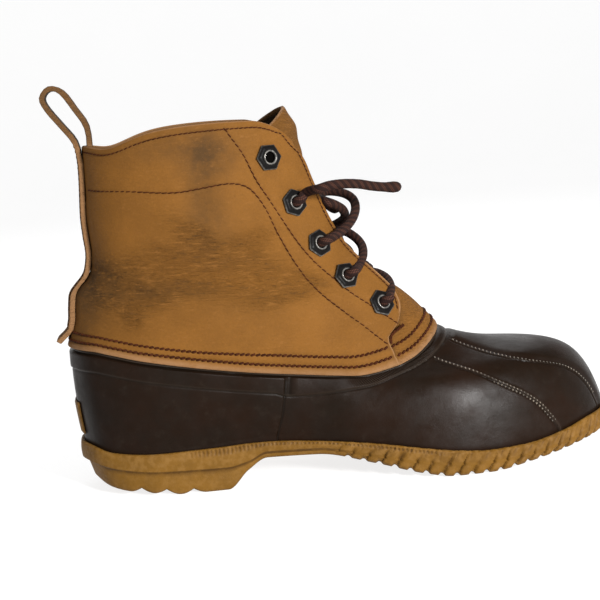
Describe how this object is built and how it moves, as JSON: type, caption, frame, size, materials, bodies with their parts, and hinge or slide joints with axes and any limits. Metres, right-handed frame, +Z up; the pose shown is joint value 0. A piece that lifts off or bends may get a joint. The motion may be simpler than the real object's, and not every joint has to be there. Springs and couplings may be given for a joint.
{
  "type": "duck boot",
  "caption": "Ankle-high duck boot: moulded rubber bottom with closed toe, laced leather quarters, open collar, back pull loop and ribbed gum sole.",
  "frame": {"origin": "under the middle of the boot's box, on the floor", "axes": "+X from heel to toe, +Y to the inner side of the foot, +Z up"},
  "size_m": [0.299, 0.104, 0.2124],
  "materials": {
    "gum_rubber": "matt caramel gum rubber with light wear",
    "brown_rubber": "dark brown moulded rubber with a soft sheen",
    "insole_felt": "brown felted footbed",
    "tan_leather": "tan nubuck leather, creased, with browner shading",
    "eyelet_metal": "worn black enamel over bright metal",
    "lace_cord": "dark brown round braid with tan flecks"
  },
  "bodies": {
    "root": {"outsole": "gum_rubber", "rubber_shell": "brown_rubber", "insole": "insole_felt", "leather_upper": "tan_leather", "tongue": "tan_leather", "back_strap": "tan_leather", "heel_patch": "gum_rubber", "eyelet_outer_1": "eyelet_metal", "eyelet_outer_2": "eyelet_metal", "eyelet_outer_3": "eyelet_metal", "eyelet_outer_4": "eyelet_metal", "eyelet_outer_5": "eyelet_metal", "eyelet_inner_1": "eyelet_metal", "eyelet_inner_2": "eyelet_metal", "eyelet_inner_3": "eyelet_metal", "eyelet_inner_4": "eyelet_metal", "eyelet_inner_5": "eyelet_metal", "lace_crossing_1": "lace_cord", "lace_crossing_2": "lace_cord", "lace_crossing_3": "lace_cord", "lace_end_outer": "lace_cord", "lace_end_inner": "lace_cord"}
  },
  "joints": []
}
